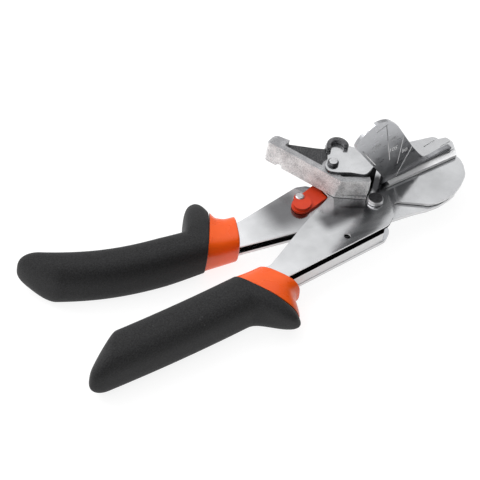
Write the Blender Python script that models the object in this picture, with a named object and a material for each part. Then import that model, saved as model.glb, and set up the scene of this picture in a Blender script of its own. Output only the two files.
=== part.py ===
"""Mitre shears lying on their side: two channel handles with moulded grips, a flat blade that
closes into a slotted anvil with a standing mitre scale, a swinging cast stop and a lock lever.

The pivot axis is the Z axis. +X points from the pivot to the blade's tip, +Y to the anvil
side, and the grips and the pivot nut rest on the plane Z = 0.
"""
import math

import bmesh
import bpy
import numpy as np
from mathutils import Vector

mm = 0.001

# Clearances
gap = 0.3 * mm
overrun = 5.0 * mm

# Sheet and stack at the pivot, counted up from the resting plane
grip_height = 27.0 * mm
handle_sheet = 2.0 * mm
front_channel_height = 15.0 * mm
blade_thickness = 1.5 * mm
back_channel_height = 8.1 * mm

channel_bottom = (grip_height - front_channel_height) / 2
front_top = channel_bottom + front_channel_height
front_under = front_top - handle_sheet
blade_top = front_under - gap
blade_under = blade_top - blade_thickness
back_top = blade_under - gap
back_under = back_top - handle_sheet
back_bottom = back_top - back_channel_height

# Handles
front_plate_reach = 74.0 * mm
front_plate_half = 23.4 * mm
back_plate_reach = 76.0 * mm
back_plate_half = 29.5 * mm
tang_length = 60.0 * mm
tang_width = 12.0 * mm
web_inset = 0.4 * mm
web_shift = 0.25

# Blade, its carrier and the anvil
blade_reach = 60.4 * mm
blade_half = 14.3 * mm
blade_bevel_width = 3.2 * mm
blade_edge_land = 0.25 * mm
anvil_reach = 63.0 * mm
anvil_depth = 34.0 * mm
anvil_edge_y = 7.35 * mm
anvil_edge_angle = math.radians(5.28)
ledge_heel = 1.9 * mm
ledge_tip = 4.6 * mm
slit_width = 0.6 * mm
slit_depth = 1.2 * mm
lower_edge_step = 2.9 * mm

# Standing mitre scale
scale_height = 58.3 * mm
scale_reach = 60.0 * mm
scale_thickness = 2.0 * mm

# Pivot
pivot_radius = 3.0 * mm
pivot_head_radius = 4.4 * mm
pivot_head_height = 2.3 * mm
pivot_nut_across = 10.0 * mm
pivot_running_gap = 0.15 * mm
sleeve_wall = 1.0 * mm

# Cast stop and the bracket that carries it
stop_x = -15.9 * mm
stop_y = 20.8 * mm
stop_height = 13.9 * mm
stop_arm_length = 56.0 * mm
stop_foot_length = 17.5 * mm
stop_wall = 3.0 * mm
stop_deck_drop = 3.4 * mm
stop_deck_sheet = 3.0 * mm
stop_toe = 2.2 * mm
stop_notch_radius = 1.8 * mm
stop_end_round = 4.0 * mm
stop_groove_depth = 1.2 * mm
bracket_sheet = 1.8 * mm
bracket_reach = 35.0 * mm
bracket_foot_depth = 8.4 * mm
leg_shares = (-0.07, 0.19)
stop_rivet_radius = 2.0 * mm
stop_rivet_head = 3.0 * mm
stop_rivet_head_height = 1.9 * mm
arch_radius = 3.7 * mm
arch_wall = 2.2 * mm
arch_height = 2.6 * mm

# Lock lever
lever_x = -33.6 * mm
lever_y = 21.2 * mm
lever_length = 16.0 * mm
lever_half = 5.2 * mm
lever_ear_radius = 3.0 * mm
lever_pad_height = 2.0 * mm
lock_rivet_radius = 1.5 * mm
lock_rivet_head = 2.4 * mm
lock_rivet_head_height = 1.0 * mm

# Small rivets
blade_rivet_radius = 2.0 * mm
blade_rivet_head = 3.4 * mm
anvil_rivet_radius = 2.0 * mm
anvil_rivet_head = 3.3 * mm
rivet_head_height = 1.2 * mm
blind_cover = 0.6 * mm
leg_rivet_radius = 1.2 * mm
hang_hole_radius = 1.8 * mm

# Opening spring
spring_wire = 0.9 * mm
spring_radius = 5.3 * mm
spring_pitch = 1.35 * mm
spring_turns = 2
spring_points_per_turn = 10
spring_arm = 18.0 * mm

# Grips
front_grip_half = 11.4 * mm
back_grip_half = 9.7 * mm
front_rim_half = 11.3 * mm
back_rim_half = 11.3 * mm
front_rim_inner = 11.3 * mm
back_rim_inner = 9.7 * mm
front_rim_start = 2.9 * mm
back_rim_start = 1.2 * mm
front_seam_step = 0.3 * mm
back_seam_step = 1.1 * mm
front_rim_height = 20.6 * mm
back_rim_height = 19.5 * mm
front_collar_length = 19.0 * mm
back_collar_length = 16.6 * mm
front_lobe_reach = 15.6 * mm
back_lobe_reach = 18.2 * mm
front_lobe_length = 13.0 * mm
back_lobe_length = 13.0 * mm
grip_round = 10.0 * mm
front_grip_line = [Vector((-71.0 * mm, -20.1 * mm)), Vector((-105.0 * mm, -23.2 * mm)),
                   Vector((-141.6 * mm, -25.9 * mm)), Vector((-189.1 * mm, -25.7 * mm))]
back_grip_line = [Vector((0.4 * mm - back_plate_reach, 14.6 * mm)),
                  Vector((-45.4 * mm - back_plate_reach, 19.4 * mm)),
                  Vector((-70.0 * mm - back_plate_reach, 17.2 * mm)),
                  Vector((-113.2 * mm - back_plate_reach, 42.3 * mm))]
front_rim_slant = math.radians(27.0)
back_rim_slant = math.radians(16.0)
front_seam_slant = math.radians(26.0)
back_seam_slant = math.radians(29.0)
front_seam_tilt = 0.40
back_seam_tilt = 0.0
lobe_thin_share = 0.15
front_seam_share = 1.0
back_seam_share = 0.85
front_end_slant = math.radians(-54.0)
back_end_slant = math.radians(-51.0)

# Counts of flats on round work
round_flat_count = 28
small_flat_count = 18
ring_flat_count = 32

# Colours as linear RGB
chrome_colour = (0.62, 0.63, 0.65)
steel_colour = (0.55, 0.56, 0.58)
cast_colour = (0.42, 0.42, 0.43)
black_colour = (0.012, 0.012, 0.013)
orange_colour = (0.82, 0.11, 0.015)
red_colour = (0.72, 0.05, 0.015)


for old in list(bpy.data.objects):
    bpy.data.objects.remove(old)


def finish(name, colour, roughness, metallic):
    """One Principled material for one sub-part."""
    material = bpy.data.materials.new(name)
    material.use_nodes = True
    shader = material.node_tree.nodes["Principled BSDF"]
    shader.inputs["Base Color"].default_value = (*colour, 1.0)
    shader.inputs["Roughness"].default_value = roughness
    shader.inputs["Metallic"].default_value = metallic
    return material


def add(name, bm, colour=None, roughness=0.3, metallic=1.0, origin=(0, 0, 0), parent=None):
    """Turn a bmesh in world coordinates into an object whose origin is the given point."""
    bmesh.ops.recalc_face_normals(bm, faces=bm.faces[:])
    bmesh.ops.translate(bm, vec=-Vector(origin), verts=bm.verts[:])
    mesh = bpy.data.meshes.new(name)
    bm.to_mesh(mesh)
    bm.free()
    mesh.shade_smooth()
    mesh.set_sharp_from_angle(angle=math.radians(35))
    item = bpy.data.objects.new(name, mesh)
    bpy.context.scene.collection.objects.link(item)
    if parent is None:
        item.location = origin
    else:
        item.parent = parent
        item.location = Vector(origin) - parent.location
    if colour is None:
        item.hide_render = True
        item.display_type = "WIRE"
    else:
        item.data.materials.append(finish(name, colour, roughness, metallic))
    return item


def axis_empty(name, point):
    """An empty on a joint's axis."""
    item = bpy.data.objects.new(name, None)
    item.location = point
    bpy.context.scene.collection.objects.link(item)
    return item


def combine(target, tool, operation):
    """Join a hidden tool to a piece, or cut it out of the piece."""
    step = target.modifiers.new(operation.lower(), "BOOLEAN")
    step.operation = operation
    step.solver = "EXACT"
    step.object = tool
    return target


def cut(target, *tools):
    for tool in tools:
        combine(target, tool, "DIFFERENCE")


def fuse(target, *tools):
    for tool in tools:
        combine(target, tool, "UNION")


def extrude(outline, low, high):
    """A flat plate: an outline in X and Y between two heights."""
    bm = bmesh.new()
    base = bm.faces.new([bm.verts.new((x, y, low)) for x, y in outline])
    top = bmesh.ops.extrude_face_region(bm, geom=[base])
    moved = [v for v in top["geom"] if isinstance(v, bmesh.types.BMVert)]
    bmesh.ops.translate(bm, vec=(0, 0, high - low), verts=moved)
    return bm


def scaled(shares, along, across):
    """Outline points from shares of two named sizes."""
    return [Vector((x * along, y * across)) for x, y in shares]


def rounded(points, radii, steps=5):
    """Replace each corner by an arc of the given radius, or keep it where the radius is zero."""
    result = []
    count = len(points)
    for i, corner in enumerate(points):
        radius = radii[i] if isinstance(radii, (list, tuple)) else radii
        to_last = points[i - 1] - corner
        to_next = points[(i + 1) % count] - corner
        half = to_last.angle(to_next) / 2
        if radius <= 0 or half > math.radians(88):
            result.append(corner)
            continue
        reach = min(radius / math.tan(half), to_last.length / 2, to_next.length / 2)
        start = corner + to_last.normalized() * reach
        end = corner + to_next.normalized() * reach
        for k in range(steps + 1):
            t = k / steps
            result.append(start * (1 - t) ** 2 + corner * 2 * t * (1 - t) + end * t ** 2)
    return result


def disc(radius, flats, x=0, y=0, turn=0):
    return [(x + radius * math.cos(turn + 2 * math.pi * k / flats),
             y + radius * math.sin(turn + 2 * math.pi * k / flats)) for k in range(flats)]


def round_tool(name, radius, low, high, x=0, y=0, flats=round_flat_count):
    return add(name, extrude(disc(radius, flats, x, y), low, high))


def turned(rings, flats, x=0, y=0):
    """A turned solid from (radius, height) pairs that climb, closed at both ends."""
    bm = bmesh.new()
    loops = []
    for radius, height in rings:
        loops.append([bm.verts.new((px, py, height)) for px, py in disc(radius, flats, x, y)])
    for low, high in zip(loops, loops[1:]):
        for k in range(flats):
            n = (k + 1) % flats
            bm.faces.new((low[k], low[n], high[n], high[k]))
    bm.faces.new(loops[0][::-1])
    bm.faces.new(loops[-1])
    return bm


def strip(start, end, width, low, high, inset=0.0):
    """An upright bar between two points, the given width to the left of its line."""
    start = Vector(start)
    end = Vector(end)
    side = (end - start).normalized()
    side = Vector((-side.y, side.x)) * width
    start = start + side * inset
    end = end + side * inset
    return extrude([start, end, end + side, start + side], low, high)


def rivet_rings(radius, head, low, high, head_height, both_ends):
    """Profile of a riveted pin: a domed head on top, and a flat one below if asked."""
    dome_share = 0.72
    rings = []
    if both_ends:
        rings += [(head, low - head_height), (head, low)]
    rings += [(radius, low), (radius, high), (head, high), (head, high + head_height / 2)]
    rings += [(head * dome_share, high + head_height)]
    return rings


def flush_rings(radius, head, low, high, head_height):
    """Profile of a rivet with a flat head below and a shank that ends blind above."""
    return [(head, low - head_height), (head, low), (radius, low), (radius, high)]


# Outline of the anvil's front edge: a straight line past the pivot
edge_direction = Vector((math.cos(anvil_edge_angle), math.sin(anvil_edge_angle)))
edge_normal = Vector((-edge_direction.y, edge_direction.x))
edge_foot = edge_normal * (anvil_edge_y * math.cos(anvil_edge_angle))


def on_edge(along, behind=0):
    """Point at a distance along the anvil's front edge and behind it."""
    return edge_foot + edge_direction * along + edge_normal * behind


def make_front_handle():
    """Anvil-side channel: a wide top plate that carries on into the upper anvil plate, an outer
    web, a bottom plate and the tang inside the grip."""
    side = (front_grip_line[1] - front_grip_line[0]).normalized()
    across = Vector((side.y, -side.x))
    neck = Vector((-front_plate_reach * 0.96, -front_plate_half * 0.75))
    tang_inner = neck + side * tang_length - across * tang_width / 2
    tang_outer = neck + side * tang_length + across * tang_width / 2
    if tang_inner.y < tang_outer.y:
        tang_inner, tang_outer = tang_outer, tang_inner
    inner_shares = [(-1.0, -0.54), (-0.59, 0.12), (-0.27, 0.58)]
    outer_shares = [(0.05, -0.54), (-0.03, -0.73), (-0.96, -1.0)]
    inner = scaled(inner_shares, front_plate_reach, front_plate_half)
    outer = scaled(outer_shares, front_plate_reach, front_plate_half)
    wing_shares = [(-0.335, 0.56), (-0.254, 0.80), (-0.08, 0.91), (0.05, 0.88), (0.30, 0.80), (0.65, 0.79),
                   (0.78, 0.744), (0.865, 0.715), (0.885, 0.66)]
    wing = scaled(wing_shares, anvil_reach, anvil_depth)
    tip_shares = (0.91, 0.97, 0.99, 0.95)
    tip = [Vector((anvil_reach * tip_shares[0], on_edge(anvil_reach).y + anvil_depth * 0.26)),
           Vector((anvil_reach * tip_shares[1], on_edge(anvil_reach).y + anvil_depth * 0.24)),
           Vector((anvil_reach * tip_shares[2], on_edge(anvil_reach).y + anvil_depth * 0.12)),
           on_edge(anvil_reach * tip_shares[3], -ledge_tip)]
    root = [on_edge(anvil_reach * 0.15, -ledge_heel),
            Vector((pivot_head_radius * 2.0, -pivot_head_radius * 0.4))]
    outline = [tang_inner] + inner + wing + tip + root + outer + [tang_outer]
    bends = [2.0, 3.0, 12.0, 4.0, 4.0, 6.0, 6.0, 6.0, 9.0, 9.0, 6.0, 1.2, 0.8, 2.0, 2.0, 2.0, 1.5, 3.0, 5.0,
             6.0, 8.0, 3.0, 2.0]
    top = rounded(outline, [b * gap * 3 for b in bends])
    body = add("front_handle_channel", extrude(top[::-1], front_under, front_top), chrome_colour, 0.12)

    web_start = outer[1] + Vector((-handle_sheet, 0))
    web = add("front_web", strip(web_start, outer[2], -handle_sheet, channel_bottom + web_inset,
                                 front_top - web_inset, web_shift))
    tang_web = add("front_tang_web", strip(outer[2], tang_outer, -handle_sheet, channel_bottom + web_inset,
                                           front_top - web_inset, web_shift * 1.3))
    floor_shares = [(0.06, -0.3), (0.05, -0.54), (-0.03, -0.72), (-0.96, -0.99)]
    floor_outline = scaled(floor_shares, front_plate_reach, front_plate_half)
    floor_outline += [tang_outer, tang_inner]
    back_shares = [(-0.98, -0.55), (-0.55, -0.15), (-0.12, 0.22), (0.03, 0.22)]
    floor_outline += scaled(back_shares, front_plate_reach, front_plate_half)
    floor = add("front_floor", extrude(rounded(floor_outline, 3.0 * handle_sheet), channel_bottom,
                                       channel_bottom + handle_sheet))
    fuse(body, web, tang_web, floor)
    cut(body, round_tool("front_pivot_hole", pivot_radius + pivot_running_gap, -overrun,
                         front_top + overrun))
    slit_shares = [((0.32, 0.262), (0.98, 0.356)), ((0.73, 0.603), (0.91, 0.660)),
                   ((0.862, 0.488), (1.02, 0.527))]
    for k, (first, last) in enumerate(slit_shares):
        start, end = scaled((first, last), anvil_reach, anvil_depth)
        cut(body, add("front_slit_%d" % k, strip(start, end, slit_width, front_top - slit_depth,
                                                front_top + overrun)))
    hang_share = (-0.365, -0.60)
    cut(body, round_tool("front_small_hole", hang_hole_radius, front_under - overrun,
                         front_top + overrun, front_plate_reach * hang_share[0],
                         front_plate_half * hang_share[1]))
    for k, point in enumerate(anvil_rivet_points()):
        cut(body, round_tool("front_rivet_hole_%d" % k, anvil_rivet_radius + gap,
                             front_under - overrun, front_top - blind_cover, *point, small_flat_count))
    for k, point in enumerate(leg_rivet_points()):
        cut(body, round_tool("front_leg_hole_%d" % k, leg_rivet_radius + gap,
                             front_under - overrun, front_top + overrun, *point, small_flat_count))
    return (side, inner[0], tang_inner, tang_outer, outer[2])


def anvil_rivet_points():
    shares = [(0.20, 0.80), (0.74, 0.57)]
    return [Vector((anvil_reach * x, anvil_depth * y)) for x, y in shares]


def leg_rivet_points():
    """Two small rivets hold the foot of the stop's bracket to the top plate."""
    along_shares = (-0.01, 0.14)
    behind = scale_thickness + gap + bracket_foot_depth * 0.66
    return [on_edge(bracket_reach * share, behind) for share in along_shares]


def make_anvil():
    """Lower anvil plate, the spacer that keeps the slot open, and the rivets through them."""
    front = [on_edge(anvil_reach * 0.17, -lower_edge_step), on_edge(anvil_reach * 0.93, -lower_edge_step),
             on_edge(anvil_reach * 0.97, -lower_edge_step * 0.3)]
    shares = [(0.945, 0.72), (0.92, 0.81), (0.80, 0.85), (0.66, 0.90), (0.40, 0.99), (0.15, 0.97),
              (0.15, 0.40)]
    outline = front + scaled(shares, anvil_reach, anvil_depth)
    lower = add("anvil_lower_plate", extrude(rounded(outline, 2.4 * handle_sheet), back_top - handle_sheet,
                                             back_top), chrome_colour, 0.12)
    spacer_shares = [(0.13, 0.74), (0.26, 0.72), (0.66, 0.62), (0.80, 0.52), (0.86, 0.60), (0.66, 0.84),
                     (0.40, 0.93), (0.13, 0.93)]
    spacer_outline = scaled(spacer_shares, anvil_reach, anvil_depth)
    spacer = add("anvil_spacer", extrude(rounded(spacer_outline, handle_sheet), back_top + gap,
                                         front_under - gap), steel_colour, 0.3)
    for k, point in enumerate(anvil_rivet_points()):
        low = back_top - handle_sheet - gap
        rings = flush_rings(anvil_rivet_radius, anvil_rivet_head, low, front_top - blind_cover - gap,
                            rivet_head_height)
        add(("anvil_rivet_heel", "anvil_rivet_tip")[k], turned(rings, small_flat_count, *point),
            steel_colour, 0.25)
        for target, low_z, high_z in ((lower, back_under, back_top), (spacer, back_top, front_under)):
            cut(target, round_tool("anvil_hole_%d_%s" % (k, target.name), anvil_rivet_radius + gap,
                                   low_z - overrun, high_z + overrun, *point, small_flat_count))


def upright(outline, near, far):
    """A plate standing along the anvil's edge: an outline of distances and heights."""
    bm = bmesh.new()
    base = bm.faces.new([bm.verts.new((*on_edge(s, near), z)) for s, z in outline])
    top = bmesh.ops.extrude_face_region(bm, geom=[base])
    moved = [v for v in top["geom"] if isinstance(v, bmesh.types.BMVert)]
    shift = edge_normal * (far - near)
    bmesh.ops.translate(bm, vec=(shift.x, shift.y, 0), verts=moved)
    return bm


def make_scale():
    """Standing mitre scale: a dome with a sloping lower left edge and a finger along the slot."""
    shares = [(0.177, 0.0), (0.176, 0.091), (0.07, 0.25), (-0.20, 0.643), (-0.273, 0.738),
              (-0.205, 0.842), (-0.077, 0.938), (0.077, 0.902), (0.207, 0.763), (0.328, 0.563),
              (0.45, 0.358), (0.568, 0.184), (0.685, 0.036), (0.843, 0.051), (0.955, 0.051),
              (0.988, 0.03), (0.988, 0.0)]
    points = [Vector((s * scale_reach, z * scale_height)) for s, z in shares]
    bends = [0, 0.5, 1.5, 3, 3.5, 7, 8, 8, 8, 8, 8, 8, 3, 3, 2, 0.4, 0.2]
    outline = rounded(points, [b * scale_thickness for b in bends], 4)
    foot = front_top + gap
    lifted = [Vector((p.x, p.y + foot)) for p in outline]
    add("mitre_scale", upright(lifted, 0, scale_thickness), chrome_colour, 0.18)


def make_bracket():
    """Raised plate behind the scale that carries the stop's rivet, with a leg and a foot."""
    floor = front_top + stop_height + 2 * gap
    shares = [(-0.60, 0.50), (-0.586, 0.614), (-0.47, 0.714), (-0.41, 0.814), (-0.377, 0.943),
              (-0.28, 1.006), (-0.157, 1.006), (-0.063, 0.931), (-0.04, 0.80), (0.026, 0.729),
              (0.074, 0.514), (0.086, 0.30), (0.03, 0.246), (-0.13, 0.183), (-0.311, 0.329), (-0.48, 0.414)]
    outline = rounded(scaled(shares, bracket_reach, bracket_reach), 2.2 * bracket_sheet)
    plate = add("stop_bracket", extrude(outline[::-1], floor, floor + bracket_sheet), chrome_colour, 0.16)
    behind = scale_thickness + gap
    left, right = [bracket_reach * share for share in leg_shares]
    leg = add("bracket_leg", strip(on_edge(left, behind), on_edge(right, behind), bracket_sheet,
                                   front_top + gap, floor + bracket_sheet / 2))
    foot_outline = [on_edge(left, behind + gap / 3), on_edge(right, behind + gap / 3),
                    on_edge(right - gap, behind + bracket_foot_depth),
                    on_edge(left + gap, behind + bracket_foot_depth)]
    foot = add("bracket_foot", extrude(foot_outline, front_top + gap, front_top + gap + bracket_sheet))
    fuse(plate, leg, foot)
    cut(plate, round_tool("bracket_rivet_hole", stop_rivet_radius + gap, floor - overrun,
                          floor + overrun, stop_x, stop_y, small_flat_count))
    for k, point in enumerate(leg_rivet_points()):
        cut(plate, round_tool("bracket_leg_hole_%d" % k, leg_rivet_radius + gap, front_top - overrun,
                              front_top + gap + 2 * bracket_sheet, *point, small_flat_count))
    for k, point in enumerate(leg_rivet_points()):
        rings = rivet_rings(leg_rivet_radius, leg_rivet_radius * 1.9, front_under + gap / 2,
                            front_top + 2 * gap + bracket_sheet, bracket_sheet / 2, False)
        add(("bracket_rivet_near", "bracket_rivet_far")[k], turned(rings, small_flat_count, *point),
            steel_colour, 0.25)

    top = floor + bracket_sheet
    arch = bmesh.new()
    centre = Vector((-0.229 * bracket_reach, 0.817 * bracket_reach))
    steps = 20
    outer = []
    inner = []
    for k in range(steps + 1):
        angle = math.radians(-25) + math.radians(200) * k / steps
        ray = Vector((math.cos(angle), math.sin(angle)))
        outer.append(centre + ray * (arch_radius + arch_wall))
        inner.append(centre + ray * arch_radius)
    arch = extrude(outer + inner[::-1], top + gap, top + gap + arch_height)
    add("bracket_arch", arch, cast_colour, 0.5)

    shank_top = top + gap
    rings = rivet_rings(stop_rivet_radius, stop_rivet_head, front_top + stop_height * 0.62, shank_top,
                        stop_rivet_head_height, True)
    add("stop_rivet", turned(rings, round_flat_count, stop_x, stop_y), steel_colour, 0.2)


def cross_prism(profile, start, along, across, near, far):
    """A bar across a direction: an outline of distances and heights, between two side distances."""
    bm = bmesh.new()
    base = bm.faces.new([bm.verts.new((*(start + along * s + across * near), z)) for s, z in profile])
    top = bmesh.ops.extrude_face_region(bm, geom=[base])
    moved = [v for v in top["geom"] if isinstance(v, bmesh.types.BMVert)]
    shift = across * (far - near)
    bmesh.ops.translate(bm, vec=(shift.x, shift.y, 0), verts=moved)
    return bm


def make_stop():
    """Cast stop: a long upright arm and a short foot that meet at a corner, joined by a deck with
    a pocket, swinging on a rivet below the bracket."""
    base = front_top + gap
    top = base + stop_height
    corner = Vector((-1.0 * stop_foot_length, 0.55 * stop_foot_length))
    arm_side = Vector((-0.432, 0.902))
    arm_left = corner + arm_side * (stop_arm_length * 0.835)
    arm_right = arm_left + Vector((2.15 * stop_wall, 0.55 * stop_wall))
    foot_end = Vector((-0.19 * stop_foot_length, 0.145 * stop_foot_length))
    foot_in = foot_end + Vector((0.08 * stop_foot_length, 0.19 * stop_foot_length))
    deck_shares = [(-0.34, 0.70), (-0.28, 1.36), (-0.46, 1.92), (-0.83, 2.16), (-1.50, 2.66)]
    rear = scaled(deck_shares, stop_foot_length, stop_foot_length)
    outline = [corner, foot_end, foot_in] + rear + [arm_right, arm_left]
    bends = [0.4, 0.2, 0.8, 2.0, 3.0, 2.0, 3.0, 3.0, 1.2, 1.2]
    shape = rounded(outline, [b * stop_wall for b in bends])
    axis = bpy.data.objects["stop_axis"]
    origin = (stop_x, stop_y, 0)
    block = extrude(shape, base, top)
    for vert in block.verts:
        if vert.co.z < base + gap and (vert.co.xy - corner).length < stop_wall:
            vert.co.xy += arm_side * stop_toe
    bmesh.ops.triangulate(block, faces=block.faces[:])
    stop = add("angle_stop", block, cast_colour, 0.5, 1.0, origin, axis)

    deck = top - stop_deck_drop
    inner = Vector((-0.85 * stop_foot_length, 0.69 * stop_foot_length))
    arm_across = Vector((arm_side.y, -arm_side.x))
    step_end = inner + arm_side * (stop_arm_length * 0.64)
    step_outline = [inner, step_end, step_end + arm_across * (4 * stop_wall)]
    step_shares = [(0.6, 2.5), (0.6, 0.10), (-0.10, 0.315)]
    step_outline += scaled(step_shares, stop_foot_length, stop_foot_length)
    cut(stop, add("stop_step", extrude(step_outline, deck, top + overrun)))
    fuse(stop, round_tool("stop_boss", stop_rivet_head + stop_wall * 0.8, base + stop_wall, top - gap,
                          stop_x, stop_y))
    hollow_shares = [(-0.86, 0.68), (-0.42, 0.47), (-0.50, 0.90), (-0.36, 1.38), (-0.56, 1.76),
                     (-0.92, 1.96), (-1.55, 2.40), (-1.50, 2.28), (-0.98, 0.90)]
    hollow = rounded(scaled(hollow_shares, stop_foot_length, stop_foot_length), stop_wall / 3)
    cut(stop, add("stop_hollow", extrude(hollow, base - overrun, deck - stop_deck_sheet)))
    end = stop_arm_length * 0.835
    profile = []
    for k in range(7):
        angle = math.radians(90) * (1 - k / 6)
        profile.append((end - stop_end_round * (1 - math.cos(angle)),
                        top - stop_end_round * (1 - math.sin(angle))))
    profile += [(end + overrun, top - stop_end_round), (end + overrun, top + overrun),
                (end - stop_end_round, top + overrun)]
    cut(stop, add("stop_end_tool", cross_prism(profile, corner, arm_side, arm_across, -overrun, 4 * stop_wall)))
    notch = corner + arm_side * (stop_arm_length * 0.66)
    cut(stop, round_tool("stop_notch", stop_notch_radius, base - overrun, base + stop_notch_radius,
                         notch.x, notch.y, small_flat_count))
    bore = round_tool("stop_bore", stop_rivet_radius + gap, base - overrun, top + overrun, stop_x, stop_y,
                      small_flat_count)
    cut(stop, bore)
    rivet_low = front_top + stop_height * 0.62
    well = round_tool("stop_rivet_well", stop_rivet_head + gap * 2, base - overrun, rivet_low + gap,
                      stop_x, stop_y, small_flat_count)
    cut(stop, well)
    cut(stop, round_tool("stop_pivot_relief", pivot_head_radius + 2 * gap, base - overrun,
                         base + pivot_head_height + 3 * gap))
    side = (foot_end - corner).normalized()
    groove_start = corner + side * (0.10 * stop_foot_length) - Vector((-side.y, side.x)) * overrun
    groove_end = foot_end + side * overrun - Vector((-side.y, side.x)) * overrun
    cut(stop, add("stop_groove", strip(groove_start, groove_end, overrun + stop_groove_depth,
                                       base + stop_height * 0.14, base + stop_height * 0.46)))


def make_back_handle():
    """Blade-side channel: its top plate runs past the pivot and carries the blade."""
    side = (back_grip_line[1] - back_grip_line[0]).normalized()
    neck = Vector((-back_plate_reach * 0.985, back_plate_half * 0.485))
    across = Vector((-side.y, side.x))
    if across.y < 0:
        across = -across
    tang_outer = neck + side * tang_length + across * tang_width / 2
    tang_inner = neck + side * tang_length - across * tang_width / 2
    outer_shares = [(-0.93, 0.76), (-0.40, 1.0), (-0.33, 0.95), (-0.19, 0.62)]
    outer = scaled(outer_shares, back_plate_reach, back_plate_half)
    inner_shares = [(-0.16, -0.24), (-0.62, 0.10), (-1.03, 0.25)]
    inner = scaled(inner_shares, back_plate_reach, back_plate_half)
    jaw_shares = [(0.0, 0.30), (0.13, 0.30), (0.25, -0.10), (0.66, -0.22), (0.755, -0.70), (0.74, -0.82),
                  (0.63, -0.95), (0.52, -1.03), (0.40, -1.01), (0.28, -0.93), (0.14, -0.88), (0.0, -0.84)]
    jaw = scaled(jaw_shares, blade_reach, blade_half * 1.02)
    jaw[0] = Vector((0, pivot_radius * 3.1))
    outline = [tang_outer] + outer + jaw + inner + [tang_inner]
    bends = [2, 3, 3, 2, 6, 3, 3, 6, 3, 2, 1.5, 3, 4, 4, 4, 4, 5, 6, 8, 3, 2]
    shape = rounded(outline, [b * handle_sheet for b in bends])
    axis = bpy.data.objects["pivot_axis"]
    body = add("back_handle_channel", extrude(shape[::-1], back_under, back_top), chrome_colour, 0.12, 1.0,
               (0, 0, 0), axis)
    web = add("back_web", strip(outer[0], outer[1], -handle_sheet, back_bottom + web_inset,
                                back_top - web_inset, web_shift))
    tang_web = add("back_tang_web", strip(tang_outer, outer[0], -handle_sheet, back_bottom + web_inset,
                                          back_top - web_inset, web_shift * 1.3))
    floor_shares = [(-1.02, 0.27), (-0.62, 0.13), (-0.14, -0.22), (0.06, -0.24), (0.10, 0.10),
                    (0.02, 0.28), (-0.19, 0.62), (-0.40, 0.985), (-0.93, 0.75)]
    floor_outline = scaled(floor_shares, back_plate_reach, back_plate_half) + [tang_outer, tang_inner]
    floor = add("back_floor", extrude(rounded(floor_outline, 2.4 * handle_sheet), back_bottom,
                                      back_bottom + handle_sheet))
    fuse(body, web, tang_web, floor)
    cut(body, round_tool("back_pivot_hole", pivot_radius + sleeve_wall + pivot_running_gap, -overrun,
                         front_top + overrun))
    for k, point in enumerate(blade_rivet_points()):
        cut(body, round_tool("jaw_rivet_hole_%d" % k, blade_rivet_radius + gap, back_under - overrun,
                             back_top + overrun, *point, small_flat_count))
    cut(body, round_tool("lock_rivet_hole", lock_rivet_radius + gap, back_under - overrun / 2,
                         back_top + overrun, lever_x, lever_y, small_flat_count))
    return (side, inner[2], tang_inner, tang_outer, outer[0])


def blade_rivet_points():
    shares = [(0.36, -0.42), (0.60, -0.52)]
    return [Vector((blade_reach * x, blade_half * y)) for x, y in shares]


def make_blade():
    """Half-oval blade with a bevelled straight edge, and the rivets that hold it to the jaw."""
    shares = [(0.13, 0.46), (0.31, 0.565), (0.972, 0.672), (0.995, 0.60), (1.0, 0.40), (0.985, 0.12),
              (0.935, -0.32), (0.83, -0.65), (0.72, -0.89), (0.60, -0.985), (0.52, -1.0), (0.435, -0.93),
              (0.40, -0.81), (0.185, -0.225), (0.10, -0.56), (-0.10, -0.56), (-0.13, 0.0), (-0.08, 0.50)]
    points = scaled(shares, blade_reach, blade_half)
    bends = [0, 0, 0.5, 0.5, 2, 4, 6, 6, 5, 5, 3, 2, 1, 2, 3, 4, 4, 3]
    outline = rounded(points, [b * blade_thickness for b in bends], 4)
    axis = bpy.data.objects["pivot_axis"]
    blade = add("blade", extrude(outline, blade_under, blade_top), steel_colour, 0.1, 1.0, (0, 0, 0), axis)
    cut(blade, round_tool("blade_pivot_hole", pivot_radius + sleeve_wall + pivot_running_gap,
                          blade_under - overrun, blade_top + overrun))
    start = points[1]
    end = points[2]
    side = (end - start).normalized()
    normal = Vector((-side.y, side.x))
    near = start - side * overrun * 0.1
    far = end + side * overrun
    bevel = bmesh.new()
    ends = []
    for point in (near, far):
        inside = point - normal * blade_bevel_width
        outside = point + normal * overrun
        drop = (blade_thickness - blade_edge_land) * (1 + overrun / blade_bevel_width)
        ends.append([bevel.verts.new((*inside, blade_under)),
                     bevel.verts.new((*inside, blade_under - overrun)),
                     bevel.verts.new((*outside, blade_under - overrun)),
                     bevel.verts.new((*outside, blade_under + drop))])
    first, last = ends
    bevel.faces.new(first)
    bevel.faces.new(last[::-1])
    for k in range(4):
        n = (k + 1) % 4
        bevel.faces.new((first[k], first[n], last[n], last[k]))
    cut(blade, add("blade_bevel", bevel))

    for k, point in enumerate(blade_rivet_points()):
        rings = flush_rings(blade_rivet_radius, blade_rivet_head, back_under - gap,
                            blade_top - blind_cover - gap, rivet_head_height)
        add(("blade_rivet_heel", "blade_rivet_tip")[k], turned(rings, small_flat_count, *point),
            steel_colour, 0.25, 1.0, (0, 0, 0), axis)
        cut(blade, round_tool("blade_rivet_hole_%d" % k, blade_rivet_radius + gap,
                              blade_under - overrun, blade_top - blind_cover, *point, small_flat_count))


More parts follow.
